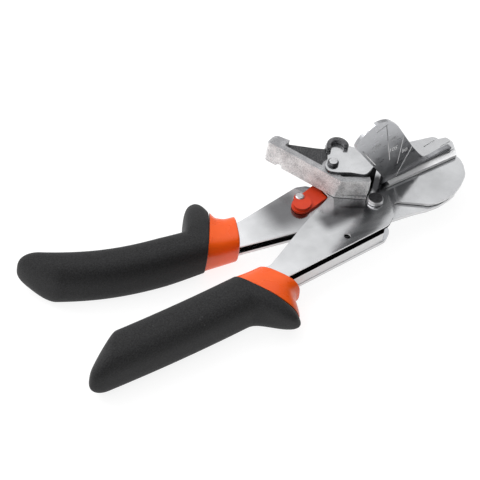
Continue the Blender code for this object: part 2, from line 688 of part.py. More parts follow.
def make_pivot():
    """Bolt with a domed head, a sleeve round it, a washer and a flat-bottomed nut on the floor."""
    washer = handle_sheet / 4
    head_low = front_top + gap
    dome_share = 0.86
    rings = [(pivot_radius, handle_sheet / 2), (pivot_radius, head_low), (pivot_head_radius, head_low),
             (pivot_head_radius, head_low + pivot_head_height * 0.55),
             (pivot_head_radius * dome_share, head_low + pivot_head_height)]
    add("pivot_bolt", turned(rings, round_flat_count), steel_colour, 0.25)
    washer_low = channel_bottom - gap - washer
    ring = add("pivot_washer", extrude(disc(pivot_nut_across * 0.58, round_flat_count), washer_low,
                                       washer_low + washer), steel_colour, 0.3)
    nut = add("pivot_nut", extrude(disc(pivot_nut_across / math.sqrt(3), 6), 0, washer_low - gap),
              steel_colour, 0.3)
    hole = round_tool("pivot_nut_hole", pivot_radius + pivot_running_gap, handle_sheet / 2 - gap, overrun * 3)
    cut(nut, hole)
    cut(ring, hole)
    low = channel_bottom + handle_sheet + gap
    sleeve = add("pivot_sleeve", extrude(disc(pivot_radius + sleeve_wall, round_flat_count), low,
                                         front_under - gap), steel_colour, 0.3)
    cut(sleeve, round_tool("pivot_sleeve_bore", pivot_radius + pivot_running_gap, -overrun,
                           front_top + overrun))


def make_spring():
    """Torsion spring round the sleeve: a helix with one straight arm at each end."""
    count = spring_turns * spring_points_per_turn
    middle = (back_bottom + handle_sheet + back_under) / 2
    rise = spring_turns * spring_pitch
    start_angle = math.radians(90)
    points = []
    for k in range(count + 1):
        angle = start_angle + 2 * math.pi * k / spring_points_per_turn
        z = middle - rise / 2 + rise * k / count
        points.append(Vector((spring_radius * math.cos(angle), spring_radius * math.sin(angle), z)))
    last_arm = points[-1] + Vector((-spring_arm, 0, 0))
    first_arm = points[0] + Vector((spring_arm * 0.9, -spring_arm * 0.05, 0))
    route = [first_arm] + points + [last_arm]
    closest = min((a - b).length for i, a in enumerate(points) for b in points[i + spring_points_per_turn:])
    print("spring least gap to itself %.2f mm" % ((closest - spring_wire) / mm))
    curve = bpy.data.curves.new("return_spring", "CURVE")
    curve.dimensions = "3D"
    curve.bevel_depth = spring_wire / 2
    curve.bevel_resolution = 1
    curve.use_fill_caps = True
    line = curve.splines.new("POLY")
    line.points.add(len(route) - 1)
    for point, place in zip(line.points, route):
        point.co = (*place, 1)
    item = bpy.data.objects.new("return_spring", curve)
    bpy.context.scene.collection.objects.link(item)
    curve.materials.append(finish("return_spring", steel_colour, 0.3, 1.0))


def make_lock():
    """Plastic lock lever on the blade-side channel, with its rivet."""
    axis = bpy.data.objects["lock_axis"]
    low = back_top + gap
    centre = Vector((lever_x, lever_y))
    tail = centre + Vector((-0.1375, -0.30)) * lever_length
    nose = tail + Vector((0.98, 0.255)) * lever_length
    run = (nose - tail).normalized()
    lean = math.atan2(run.y, run.x)

    def capsule(first, last, first_half, last_half):
        """Outline of a bar with round ends along the lever."""
        outline = []
        for k in range(11):
            angle = lean + math.radians(90) + math.pi * k / 10
            outline.append(first + Vector((math.cos(angle), math.sin(angle))) * first_half)
        for k in range(9):
            angle = lean + math.radians(-90) + math.pi * k / 8
            outline.append(last + Vector((math.cos(angle), math.sin(angle))) * last_half)
        return outline

    outline = capsule(tail, nose, lever_half * 0.97, lever_half * 1.03)
    origin = (lever_x, lever_y, 0)
    lever = add("lock_lever", extrude(outline, low, low + blade_thickness), red_colour, 0.35, 0.0,
                origin, axis)
    pad = capsule(tail, tail + run * (lever_length * 0.07), lever_half * 0.88, lever_half * 0.88)
    ear = round_tool("lever_ear", lever_ear_radius, low + gap / 10, low + blade_thickness - gap / 10,
                     lever_x, lever_y)
    fuse(lever, ear)
    pad_low = low + blade_thickness / 2
    fuse(lever, add("lever_pad", extrude(pad, pad_low, low + blade_thickness + lever_pad_height)))
    cut(lever, round_tool("lever_bore", lock_rivet_radius + gap, low - overrun, low + overrun * 2,
                          lever_x, lever_y, small_flat_count))
    notch_top = low + blade_thickness + gap
    cut(lever, round_tool("lever_notch", lock_rivet_head + 2 * gap, notch_top, notch_top + overrun,
                          lever_x, lever_y, small_flat_count))
    back = bpy.data.objects["pivot_axis"]
    rings = rivet_rings(lock_rivet_radius, lock_rivet_head, back_under + gap, notch_top + gap,
                        lock_rivet_head_height, False)
    add("lock_rivet", turned(rings, small_flat_count, lever_x, lever_y), steel_colour, 0.2, 1.0,
        (0, 0, 0), back)


def grip_point(line, t):
    """Point and direction on the grip's curved centre line, t from 0 at the rim to 1."""
    a, b, c, d = line
    u = 1 - t
    point = a * u ** 3 + b * 3 * t * u * u + c * 3 * t * t * u + d * t ** 3
    slope = (b - a) * 3 * u * u + (c - b) * 6 * t * u + (d - c) * 3 * t * t
    return point, slope.normalized()


front_swell_shares = [(0.0, 0.0), (0.35, 0.04), (0.5, 0.18), (0.65, 0.46), (0.78, 0.72),
                      (0.9, 0.90), (1.0, 1.0)]
back_swell_shares = [(0.0, 0.0), (0.43, 0.06), (0.76, 0.40), (0.90, 0.74), (1.0, 1.0)]
front_lobe_shares = [(0.0, 0.68), (0.10, 0.86), (0.20, 0.97), (0.28, 1.0), (0.36, 0.96), (0.45, 0.82),
                     (0.54, 0.60), (0.63, 0.37), (0.74, 0.16), (0.88, 0.04), (1.0, 0.0)]
back_lobe_shares = [(0.0, 0.50), (0.10, 0.68), (0.20, 0.86), (0.30, 0.98), (0.38, 1.0), (0.48, 0.97),
                    (0.58, 0.83), (0.66, 0.60), (0.73, 0.30), (0.80, 0.08), (0.90, 0.0)]


def along_table(table, x):
    """Value of a table of shares at x, straight between its entries."""
    for (a, low), (b, high) in zip(table, table[1:]):
        if x <= b:
            return low + (high - low) * max(0.0, (x - a) / (b - a))
    return table[-1][1]


def grip_rings(shape, first, last, steps, collar):
    """Rings of a grip between two distances from the rim: superellipse sections along the centre
    line, slanted at the rim and at the end. The outer half swells into the finger lobe just behind
    the collar, and the far end closes like an ellipse."""
    (line, outward, half, rim_half, rim_inner, rim_height, seam, seam_step, reach, lobe_length,
     lobe_shares, swell_shares, seam_share, rim_slant, seam_slant, seam_tilt, end_slant, rim_start) = shape
    length = (line[3] - line[0]).length
    power = 2.9
    rings = []
    full = grip_height / 2
    for k in range(steps + 1):
        share = k / steps
        if not collar:
            share = share ** 1.35 if share < 0.8 else 1 - (1 - share) * (1 - 0.8 ** 1.35) / 0.2
        d = first + (last - first) * share
        left = length - d
        if not collar and left < grip_round:
            left = grip_round * (1 - math.sin(math.pi / 2 * (1 - left / grip_round)))
            d = length - left
        point, slope = grip_point(line, d / length)
        inner = half
        base = half
        if collar:
            grow = (d / seam) ** 2
            inner = rim_inner + (half - seam_step - rim_inner) * grow
            base = rim_half + (half - rim_half) * grow
            rise = rim_height / 2 + (full * seam_share - rim_height / 2) * grow
            lobe = reach * lobe_shares[0][1] * along_table(swell_shares, d / seam)
            tilt = seam_tilt * d / seam
            slant = rim_slant + (seam_slant - rim_slant) * d / seam
        else:
            rise = full * min(1.0, seam_share + (1 - seam_share) * (d - seam) / (2 * lobe_length))
            lobe = reach * along_table(lobe_shares, (d - seam) / lobe_length)
            slant = seam_slant * max(0.0, 1 - (d - seam) / (1.25 * lobe_length))
            tilt = seam_tilt * max(0.0, 1 - (d - seam) / (1.25 * lobe_length))
        outer = base + lobe
        close = 1.0
        if left < grip_round:
            close = math.sqrt(max(0.01, 1 - (1 - left / grip_round) ** 2))
        slant += end_slant * max(0.0, 1 - left / (3 * grip_round))
        side = Vector((-slope.y, slope.x))
        if side.dot(outward) < 0:
            side = -side
        ring = []
        for j in range(ring_flat_count):
            angle = 2 * math.pi * j / ring_flat_count
            c = math.cos(angle)
            s = math.sin(angle)
            across = math.copysign(abs(c) ** (2 / power), c) * (outer if c > 0 else inner) * close
            up = math.copysign(abs(s) ** (2 / power), s) * rise * close
            thin = 1.0 - lobe_thin_share * max(0.0, across - half) / reach
            place = point + side * across - slope * (across * math.tan(slant) - tilt * up)
            ring.append((place.x, place.y, full + up * thin))
        rings.append(ring)
    return rings


def skin(rings):
    """Closed solid through a list of rings, with a flat cap at each end."""
    bm = bmesh.new()
    loops = [[bm.verts.new(p) for p in ring] for ring in rings]
    count = len(loops[0])
    for a, b in zip(loops, loops[1:]):
        for k in range(count):
            n = (k + 1) % count
            bm.faces.new((a[k], a[n], b[n], b[k]))
    bm.faces.new(loops[0][::-1])
    bm.faces.new(loops[-1])
    return bm


def make_grip(label, shape, tang, parent):
    """Orange collar and black sleeve of one handle, with a pocket for the tang."""
    side, inner_neck, tang_inner, tang_outer, outer_neck = tang
    line = shape[0]
    seam = shape[6]
    rim_start = shape[-1]
    length = (line[3] - line[0]).length
    collar = add(label + "_grip_collar", skin(grip_rings(shape, rim_start, seam - gap, 10, True)),
                 orange_colour, 0.25, 0.0, (0, 0, 0), parent)
    sleeve = add(label + "_grip_sleeve", skin(grip_rings(shape, seam, length, 44, False)),
                 black_colour, 0.75, 0.0, (0, 0, 0), parent)
    low = channel_bottom if label == "front" else back_bottom
    high = front_top if label == "front" else back_top
    across = (tang_outer - tang_inner).normalized()
    room = across * gap * 2
    beyond = side * gap
    mouth = side * overrun * 2
    pocket = extrude([inner_neck - room - mouth, inner_neck - room, tang_inner - room + beyond,
                      tang_outer + room + beyond, outer_neck + room, outer_neck + room - mouth],
                     low - gap, high + gap)
    tool = add(label + "_tang_pocket", pocket)
    cut(collar, tool)
    cut(sleeve, tool)


pivot_axis = axis_empty("pivot_axis", (0, 0, 0))
stop_axis = axis_empty("stop_axis", (stop_x, stop_y, 0))
lock_axis = axis_empty("lock_axis", (lever_x, lever_y, 0))

front_tang = make_front_handle()
make_anvil()
make_scale()
make_bracket()
make_stop()
back_tang = make_back_handle()
make_blade()
make_pivot()
make_spring()
make_lock()
front_shape = (front_grip_line, Vector((0, -1)), front_grip_half, front_rim_half, front_rim_inner,
               front_rim_height, front_collar_length, front_seam_step, front_lobe_reach, front_lobe_length,
               front_lobe_shares, front_swell_shares, front_seam_share, front_rim_slant,
               front_seam_slant, front_seam_tilt, front_end_slant, front_rim_start)
back_shape = (back_grip_line, Vector((0, 1)), back_grip_half, back_rim_half, back_rim_inner,
              back_rim_height, back_collar_length, back_seam_step, back_lobe_reach, back_lobe_length,
              back_lobe_shares, back_swell_shares, back_seam_share, back_rim_slant,
              back_seam_slant, back_seam_tilt, back_end_slant, back_rim_start)
make_grip("front", front_shape, front_tang, None)
make_grip("back", back_shape, back_tang, pivot_axis)
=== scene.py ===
import math

import bmesh
import bpy
import numpy as np
from mathutils import Matrix, Vector


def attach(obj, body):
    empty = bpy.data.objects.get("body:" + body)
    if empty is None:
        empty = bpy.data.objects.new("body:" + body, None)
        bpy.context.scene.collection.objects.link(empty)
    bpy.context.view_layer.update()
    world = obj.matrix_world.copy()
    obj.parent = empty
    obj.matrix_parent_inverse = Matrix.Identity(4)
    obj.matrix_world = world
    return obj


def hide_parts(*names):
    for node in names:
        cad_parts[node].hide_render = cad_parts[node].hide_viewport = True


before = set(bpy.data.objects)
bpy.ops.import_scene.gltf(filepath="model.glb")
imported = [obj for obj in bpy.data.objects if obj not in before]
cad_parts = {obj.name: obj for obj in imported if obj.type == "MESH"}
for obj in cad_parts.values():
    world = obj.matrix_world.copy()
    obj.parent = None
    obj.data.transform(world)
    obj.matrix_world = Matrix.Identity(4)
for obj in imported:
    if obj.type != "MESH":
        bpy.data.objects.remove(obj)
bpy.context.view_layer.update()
mm = 0.001

# Camera: a long lens from the handle side, high and rolled, as in the photograph.
cameraLook = {
    "place": (-871.72 * mm, -908.93 * mm, 1367.4 * mm),
    "right": (0.8357, -0.5342, 0.1277),
    "up": (0.3323, 0.6769, 0.6568),
    "back": (-0.4373, -0.5065, 0.7431),
    "lens": 262.5,
    "sensor": 36.0,
    "near": 0.1,
    "far": 20.0,
}


def makeCamera(look):
    data = bpy.data.cameras.new("sceneCamera")
    data.lens = look["lens"]
    data.sensor_width = look["sensor"]
    data.clip_start = look["near"]
    data.clip_end = look["far"]
    camera = bpy.data.objects.new("sceneCamera", data)
    columns = [Vector(look[k]).normalized() for k in ("right", "up", "back")]
    turn = Matrix(columns).transposed().to_4x4()
    camera.matrix_world = Matrix.Translation(look["place"]) @ turn
    bpy.context.scene.collection.objects.link(camera)
    bpy.context.scene.camera = camera


makeCamera(cameraLook)
bpy.context.scene.view_settings.view_transform = "Standard"
print("camera made")


# Linear colour of an sRGB hex code.
def paint(code):
    values = [int(code[i:i + 2], 16) / 255 for i in (1, 3, 5)]
    linear = [v / 12.92 if v <= 0.04045 else ((v + 0.055) / 1.055) ** 2.4 for v in values]
    return (*linear, 1.0)


def addNode(tree, kind, values=None, links=None, **settings):
    node = tree.nodes.new(kind)
    for name, value in settings.items():
        setattr(node, name, value)
    for key, value in (values or {}).items():
        node.inputs[key].default_value = value
    for key, source in (links or {}).items():
        tree.links.new(source, node.inputs[key])
    return node


def newMaterial(name):
    material = bpy.data.materials.new(name)
    material.use_nodes = True
    tree = material.node_tree
    shader = tree.nodes["Principled BSDF"]
    return material, tree, shader


def ramp(tree, source, stops):
    node = addNode(tree, "ShaderNodeValToRGB", links={"Fac": source})
    elements = node.color_ramp.elements
    while len(elements) < len(stops):
        elements.new(0.5)
    for element, (place, colour) in zip(elements, stops):
        element.position = place
        element.color = colour
    return node.outputs["Color"]


# A colour ramp from sRGB codes at given places.
def toneRamp(tree, source, places, codes):
    return ramp(tree, source, [(place, paint(code)) for place, code in zip(places, codes)])


def grey(value):
    return (value, value, value, 1.0)


def mixColour(tree, share, first, second):
    mixer = tree.nodes.new("ShaderNodeMix")
    mixer.data_type = "RGBA"
    tree.links.new(share, mixer.inputs[0])
    for k, value in ((6, first), (7, second)):
        if isinstance(value, tuple):
            mixer.inputs[k].default_value = value
        else:
            tree.links.new(value, mixer.inputs[k])
    return mixer.outputs[2]


# One step of arithmetic on plain numbers or on the outputs of nodes.
def maths(tree, operation, first, second=None, clamp=False):
    node = addNode(tree, "ShaderNodeMath", operation=operation, use_clamp=clamp)
    for k, value in enumerate((first, second)):
        if isinstance(value, (int, float)):
            node.inputs[k].default_value = value
        elif value is not None:
            tree.links.new(value, node.inputs[k])
    return node.outputs[0]


# One range of numbers mapped onto another, in a straight line or as a soft step.
def mapped(tree, source, before, after=(0.0, 1.0), kind="LINEAR"):
    values = dict(zip(("From Min", "From Max", "To Min", "To Max"), (*before, *after)))
    return addNode(tree, "ShaderNodeMapRange", values, {"Value": source},
                   interpolation_type=kind).outputs["Result"]


def objectPlace(tree):
    return addNode(tree, "ShaderNodeTexCoord").outputs["Object"]


# Noise with features of a given size.
def noise(tree, place, size, detail, roughness=0.5):
    values = {"Scale": 1 / size, "Detail": detail, "Roughness": roughness}
    return addNode(tree, "ShaderNodeTexNoise", values, {"Vector": place}).outputs["Fac"]


def bumped(tree, height, strength, depth, below=None):
    links = {"Height": height} if below is None else {"Height": height, "Normal": below}
    return addNode(tree, "ShaderNodeBump", {"Strength": strength, "Distance": depth},
                   links).outputs["Normal"]


# Share of a surface that faces up, from 0 on a wall to 1 on a level face, as a soft step of the
# normal's height between two values.
def levelShare(tree, lean):
    normal = addNode(tree, "ShaderNodeNewGeometry").outputs["Normal"]
    rise = addNode(tree, "ShaderNodeSeparateXYZ", None, {"Vector": normal}).outputs["Z"]
    return mapped(tree, maths(tree, "ABSOLUTE", rise), lean, kind="SMOOTHSTEP")


# A zone of a surface, a box in object space: its share at a point is the product over x, y and z
# of a soft step, 1 up to the distance half from the middle and 0 from half + soft on. Lengths in
# millimetres.
def zoneShare(tree, place, centre, half, soft):
    away = addNode(tree, "ShaderNodeVectorMath", {1: [c * mm for c in centre]}, {0: place},
                   operation="SUBTRACT").outputs["Vector"]
    away = addNode(tree, "ShaderNodeVectorMath", None, {0: away},
                   operation="ABSOLUTE").outputs["Vector"]
    parts = addNode(tree, "ShaderNodeSeparateXYZ", None, {"Vector": away}).outputs
    steps = [mapped(tree, parts[k], (half[k] * mm, (half[k] + soft) * mm), (1.0, 0.0), "SMOOTHSTEP")
             for k in range(3)]
    return maths(tree, "MULTIPLY", maths(tree, "MULTIPLY", steps[0], steps[1]), steps[2])


# Plated or polished sheet: cloudy tone, fine rolling scratches along one direction, and
# roughness that varies over a few millimetres. Walls, the cut or folded sides of the sheet, may
# hold their own tones by height, on the plates painted reflected light and shade, and a painted
# black reflection band; faces may hold painted highlight zones and zones of painted light and
# shade. Bands and zones are painted reflections and shade, fixed on the metal where reflections
# show from the camera's side. They aren't real reflections, and from other sides they don't
# belong where they are.
def metalMaterial(name, look):
    material, tree, shader = newMaterial(name)
    place = objectPlace(tree)
    turned = addNode(tree, "ShaderNodeMapping", {"Rotation": (0, 0, look["grainTurn"])},
                     {"Vector": place}).outputs["Vector"]
    stretched = addNode(tree, "ShaderNodeMapping", {"Scale": look["grainScale"]},
                        {"Vector": turned}).outputs["Vector"]
    cloud = noise(tree, place, look["cloudSize"], look["cloudDetail"], look["cloudRough"])
    scratch = noise(tree, stretched, look["scratchSize"], look["scratchDetail"])
    tone = toneRamp(tree, cloud, look["toneSpan"], (look["dark"], look["light"]))
    shader.inputs["Metallic"].default_value = 1.0
    # Walls take their own tones by height and a lower metallic share: on the plates painted
    # reflected light and shade, on the scale marks their white and grey.
    if "wall" in look:
        level = levelShare(tree, look["wallLean"])
        height = addNode(tree, "ShaderNodeSeparateXYZ", None, {"Vector": place}).outputs["Z"]
        height = mapped(tree, height, [z * mm for z in look["wallSpan"]])
        wall = toneRamp(tree, height, *zip(*look["wall"]))
        metallic = mapped(tree, level, (0.0, 1.0), (look["wallMetal"], 1.0))
        # Painted black reflection bands: a near-black tone on walls, not metallic and without
        # gloss.
        for code, *zone in look.get("paintedReflectionBands", []):
            share = zoneShare(tree, place, *zone)
            wall = mixColour(tree, share, wall, paint(code))
            share = maths(tree, "MULTIPLY", share, maths(tree, "SUBTRACT", 1.0, level))
            outside = maths(tree, "SUBTRACT", 1.0, share)
            metallic = maths(tree, "MULTIPLY", metallic, outside)
            shine = maths(tree, "MULTIPLY", outside, look["specular"])
            tree.links.new(shine, shader.inputs["Specular IOR Level"])
        tone = mixColour(tree, level, wall, tone)
        # Painted highlight zones: a pale tone that isn't metallic.
        for code, *zone in look.get("paintedHighlightZones", []):
            share = zoneShare(tree, place, *zone)
            tone = mixColour(tree, share, tone, paint(code))
            metallic = maths(tree, "MULTIPLY", metallic, maths(tree, "SUBTRACT", 1.0, share))
        tree.links.new(metallic, shader.inputs["Metallic"])
    # Zones of painted light and shade.
    for code, *zone in look.get("paintedLightAndShadeZones", []):
        tone = mixColour(tree, zoneShare(tree, place, *zone), tone, paint(code))
    tree.links.new(tone, shader.inputs["Base Color"])
    mixed = maths(tree, "ADD", maths(tree, "MULTIPLY", cloud, look["cloudShare"]), scratch)
    rough = mapped(tree, mixed, look["glossSpan"], (look["smooth"], look["rough"]))
    tree.links.new(rough, shader.inputs["Roughness"])
    tree.links.new(bumped(tree, scratch, look["bump"], look["bumpDepth"]), shader.inputs["Normal"])
    return material


# Bright nickel-chrome plating on rolled sheet steel: what all the plates start from. Zones below
# hold a colour, a centre, half sizes and a soft edge in millimetres.
plateLook = {
    "dark": "#c4c5c7", "light": "#eeeff1", "smooth": 0.11, "rough": 0.22, "cloudSize": 40 * mm,
    "scratchSize": 2.2 * mm, "grainScale": (0.06, 1.0, 1.0), "grainTurn": 0.12, "bump": 0.10,
    "bumpDepth": 0.05 * mm, "cloudDetail": 4.0, "cloudRough": 0.55, "scratchDetail": 3.0,
    "toneSpan": (0.30, 0.66), "wallLean": (0.35, 0.7), "specular": 0.5, "cloudShare": 0.5,
    "glossSpan": (0.4, 1.1),
}

# Front handle: folded sides painted a pale, barely metallic tone for reflected light, with a
# painted black reflection band; a painted dark reflection spot by the pivot, a painted dark
# reflection bar from the pivot towards the grip, and a painted light band along the anvil's edge.
frontLook = dict(
    plateLook, wallSpan=(6.0, 21.0), wallMetal=0.15, wall=[(0.0, "#e9e9ea"), (1.0, "#f2f2f3")],
    paintedReflectionBands=[("#060606", (-60.0, -20.0, 17.4), (70.0, 40.0, 2.6), 0.3)],
    paintedLightAndShadeZones=[("#4a4a4c", (7.5, 9.5, 21.0), (3.0, 3.5, 1.0), 4.0),
                ("#6c6c6e", (-20.0, -0.6, 21.0), (11.0, 1.8, 1.0), 7.0)],
    paintedHighlightZones=[("#f6f6f7", (38.0, 5.8, 21.0), (24.0, 5.0, 1.0), 0.5)])
frontMetal = metalMaterial("plated front handle sheet", frontLook)

# Back handle: the front handle's pale painted wall tone, a painted black reflection band on the
# folded side and a painted grey reflection patch by the lock lever.
backLook = dict(
    frontLook, paintedHighlightZones=[],
    paintedReflectionBands=[("#060606", (-70.0, 0.0, 13.3), (72.0, 40.0, 2.6), 0.3)],
    paintedLightAndShadeZones=[("#7c7c7e", (-45.0, 18.0, 16.9), (4.0, 4.0, 1.0), 15.0)])
backMetal = metalMaterial("plated back handle sheet", backLook)

# Stop bracket: sides painted dark as shade, and a darker painted shade on its low parts.
bracketLook = dict(
    plateLook, wallSpan=(21.0, 37.0), wallMetal=0.8, wall=[(0.0, "#39393b"), (1.0, "#58585a")],
    paintedLightAndShadeZones=[("#2e2e30", (0.0, 15.0, 27.0), (40.0, 40.0, 7.6), 0.6)])
bracketMetal = metalMaterial("plated bracket sheet", bracketLook)

# Lower anvil plate, a little duller than the handles. Its sides are painted a pale, barely
# metallic tone for reflected light.
jawLook = dict(plateLook, wallSpan=(12.0, 19.0), wallMetal=0.1,
               wall=[(0.0, "#e2e2e3"), (1.0, "#ececed")], smooth=0.16, rough=0.3)
jawMetal = metalMaterial("plated lower anvil sheet", jawLook)

# Mirror-ground hardened blade steel, about as smooth as the plating and a little darker. Its
# sides are painted a pale, barely metallic tone for reflected light.
bladeLook = dict(plateLook, dark="#c3c4c6", light="#e2e3e5", smooth=0.12, rough=0.22,
                 cloudSize=30 * mm, grainTurn=1.2, wallSpan=(12.0, 19.0), wallMetal=0.1,
                 wall=[(0.0, "#dcdcdd"), (1.0, "#ececed")])
bladeMetal = metalMaterial("ground blade steel", bladeLook)

# Satin ground sheet of the mitre scale, with a paler zone of painted light towards its top.
scaleLook = dict(plateLook, dark="#828387", light="#b0b1b4", smooth=0.22, rough=0.42,
                 paintedLightAndShadeZones=[("#b4b5b8", (0.0, 10.0, 80.0), (60.0, 30.0, 16.0), 20.0)],
                 cloudSize=14 * mm, scratchSize=0.9 * mm, grainScale=(0.25, 1.0, 0.6), bump=0.4,
                 bumpDepth=0.08 * mm)
scaleMetal = metalMaterial("satin scale steel", scaleLook)

# Turned and riveted steel pins.
pinLook = dict(plateLook, dark="#a5a6a8", light="#cdced0", smooth=0.16, rough=0.34,
               cloudSize=3 * mm, scratchSize=0.5 * mm, grainScale=(1.0, 1.0, 1.0), bump=0.2)
pinMetal = metalMaterial("bright pin steel", pinLook)


# A rivet head: its top and its rim have different tones, told apart by how far the face leans.
# The rim tone is painted light: a painted highlight on the pivot bolt, painted shade on the flat
# rivets.
def headMaterial(name, look):
    material, tree, shader = newMaterial(name)
    grain = noise(tree, objectPlace(tree), look["grainSize"], look["grainDetail"])
    top = toneRamp(tree, grain, look["toneSpan"], (look["topDark"], look["topLight"]))
    tone = mixColour(tree, levelShare(tree, look["lean"]), paint(look["rim"]), top)
    tree.links.new(tone, shader.inputs["Base Color"])
    rough = mapped(tree, grain, (0.0, 1.0), (look["smooth"], look["rough"]))
    tree.links.new(rough, shader.inputs["Roughness"])
    shader.inputs["Metallic"].default_value = look["metal"]
    return material


# The pivot bolt's pressed head: a dull dark top inside a polished rim, its brightness a painted
# highlight.
boltLook = {"grainSize": 0.8 * mm, "grainDetail": 4.0, "toneSpan": (0.3, 0.7), "topDark": "#58585a",
            "topLight": "#77777a", "rim": "#e8e8ea", "lean": (0.90, 0.97), "smooth": 0.22,
            "rough": 0.42, "metal": 0.9}
boltMetal = headMaterial("pivot head steel", boltLook)

# Flat riveted heads with a pale top and a rim painted dark as shade.
rivetLook = dict(boltLook, topDark="#bcbcbe", topLight="#d8d8da", rim="#4a4a4c", lean=(0.62, 0.86))
rivetMetal = headMaterial("flat rivet steel", rivetLook)


# Pressure-cast zinc with a sandy skin: fine pits, broader waves and tone that wanders. Walls may
# have their own tones, painted paler for the light falling on them, and level faces may hold
# zones of painted shade.
def castMaterial(name, look):
    material, tree, shader = newMaterial(name)
    place = objectPlace(tree)
    fine = noise(tree, place, look["grainSize"], look["grainDetail"], look["grainRough"])
    broad = noise(tree, place, look["waveSize"], look["waveDetail"])
    blend = maths(tree, "ADD", maths(tree, "MULTIPLY", fine, look["grainShare"]),
                  maths(tree, "MULTIPLY", broad, look["waveShare"]))
    tone = toneRamp(tree, blend, look["toneSpan"], (look["dark"], look["middle"], look["light"]))
    if "wallDark" in look:
        wall = toneRamp(tree, blend, look["wallToneSpan"], (look["wallDark"], look["wallLight"]))
        tone = mixColour(tree, levelShare(tree, look["wallLean"]), wall, tone)
    # Zones of painted shade, broken up by the fine grain.
    for code, *zone in look.get("paintedShadeZones", []):
        share = maths(tree, "MULTIPLY", zoneShare(tree, place, *zone),
                      levelShare(tree, look["zoneLean"]))
        share = maths(tree, "MULTIPLY", share, fine)
        share = maths(tree, "MULTIPLY", share, look["zoneStrength"], clamp=True)
        tone = mixColour(tree, share, tone, paint(code))
    tree.links.new(tone, shader.inputs["Base Color"])
    rough = mapped(tree, fine, look["glossSpan"], (look["smooth"], look["rough"]))
    tree.links.new(rough, shader.inputs["Roughness"])
    wave = bumped(tree, broad, look["waveBump"], look["waveDepth"])
    skin = bumped(tree, fine, look["bump"], look["grainDepth"], wave)
    tree.links.new(skin, shader.inputs["Normal"])
    shader.inputs["Metallic"].default_value = look["metal"]
    return material


# Die-cast zinc alloy, as the swinging stop and the bracket's arch share it.
castLook = {
    "dark": "#77777a", "middle": "#9c9c9e", "light": "#c6c6c8", "toneSpan": (0.58, 0.78, 1.0),
    "grainSize": 0.55 * mm, "grainDetail": 5.0, "grainRough": 0.7, "grainShare": 1.1,
    "waveSize": 6 * mm, "waveDetail": 3.0, "waveShare": 0.45, "waveDepth": 0.35 * mm,
    "waveBump": 0.5, "grainDepth": 0.14 * mm, "bump": 0.65, "smooth": 0.5, "rough": 0.66,
    "glossSpan": (0.35, 0.65), "metal": 0.2,
}

# The swinging stop: walls painted pale as lit faces, and painted near-black shade on the low deck
# behind the arm.
stopLook = dict(
    castLook, wallDark="#a2a2a4", wallLight="#ffffff", wallToneSpan=(0.58, 0.9),
    wallLean=(0.3, 0.6), zoneLean=(0.6, 0.9), zoneStrength=1.8,
    paintedShadeZones=[("#202022", (-10.0, 30.0, 31.6), (26.0, 30.0, 0.9), 0.4)])
castMetal = castMaterial("sandy die-cast zinc", stopLook)

# The bracket's arch: the same cast skin in a dark tone of painted shade.
archLook = dict(castLook, dark="#1c1c1e", middle="#444446", light="#8a8a8c", smooth=0.3, rough=0.5)
paintedShadeCastMetal = castMaterial("shaded die-cast zinc", archLook)


# Dipped foam rubber: a near-black matt skin with fine pores and scattered pale specks.
def foamMaterial(name, look):
    material, tree, shader = newMaterial(name)
    place = objectPlace(tree)
    pores = noise(tree, place, look["poreSize"], look["poreDetail"], look["poreRough"])
    cloud = noise(tree, place, look["cloudSize"], look["cloudDetail"])
    specks = addNode(tree, "ShaderNodeTexVoronoi", {"Scale": 1 / look["speckSpacing"]},
                     {"Vector": place}).outputs["Distance"]
    dust = ramp(tree, specks, [(at, grey(value)) for at, value in look["speckStops"]])
    skin = toneRamp(tree, pores, look["toneSpan"], (look["dark"], look["light"]))
    worn = mapped(tree, cloud, look["wornSpan"], (0.0, look["wornMost"]))
    tone = mixColour(tree, maths(tree, "MULTIPLY", dust, worn), skin, paint(look["speck"]))
    tree.links.new(tone, shader.inputs["Base Color"])
    tree.links.new(bumped(tree, pores, look["bump"], look["poreDepth"]), shader.inputs["Normal"])
    shader.inputs["Roughness"].default_value = look["rough"]
    shader.inputs["Specular IOR Level"].default_value = look["specular"]
    shader.inputs["Sheen Weight"].default_value = look["sheen"]
    shader.inputs["Sheen Roughness"].default_value = look["sheenRough"]
    return material


# Black foam-rubber grip skin.
foamLook = {
    "dark": "#171718", "light": "#343435", "toneSpan": (0.35, 0.70), "poreSize": 0.7 * mm,
    "poreDetail": 6.0, "poreRough": 0.72, "poreDepth": 0.12 * mm, "bump": 0.6,
    "cloudSize": 18 * mm, "cloudDetail": 2.0, "speck": "#8c8c8c", "speckSpacing": 6 * mm,
    "speckStops": [(0.0, 1.0), (0.085, 0.35), (0.12, 0.0)], "wornSpan": (0.45, 0.8),
    "wornMost": 0.35, "rough": 0.86, "specular": 0.28, "sheen": 0.10, "sheenRough": 0.5,
}
foamRubber = foamMaterial("black foam rubber", foamLook)


# Moulded plastic: faint tone drift, slight orange peel and a soft gloss.
def plasticMaterial(name, look):
    material, tree, shader = newMaterial(name)
    place = objectPlace(tree)
    cloud = noise(tree, place, look["cloudSize"], look["cloudDetail"])
    peel = noise(tree, place, look["peelSize"], look["peelDetail"])
    tone = toneRamp(tree, cloud, look["toneSpan"], (look["dark"], look["light"]))
    tree.links.new(tone, shader.inputs["Base Color"])
    rough = mapped(tree, cloud, look["toneSpan"], (look["smooth"], look["rough"]))
    tree.links.new(rough, shader.inputs["Roughness"])
    tree.links.new(bumped(tree, peel, look["peelBump"], look["peelDepth"]), shader.inputs["Normal"])
    return material


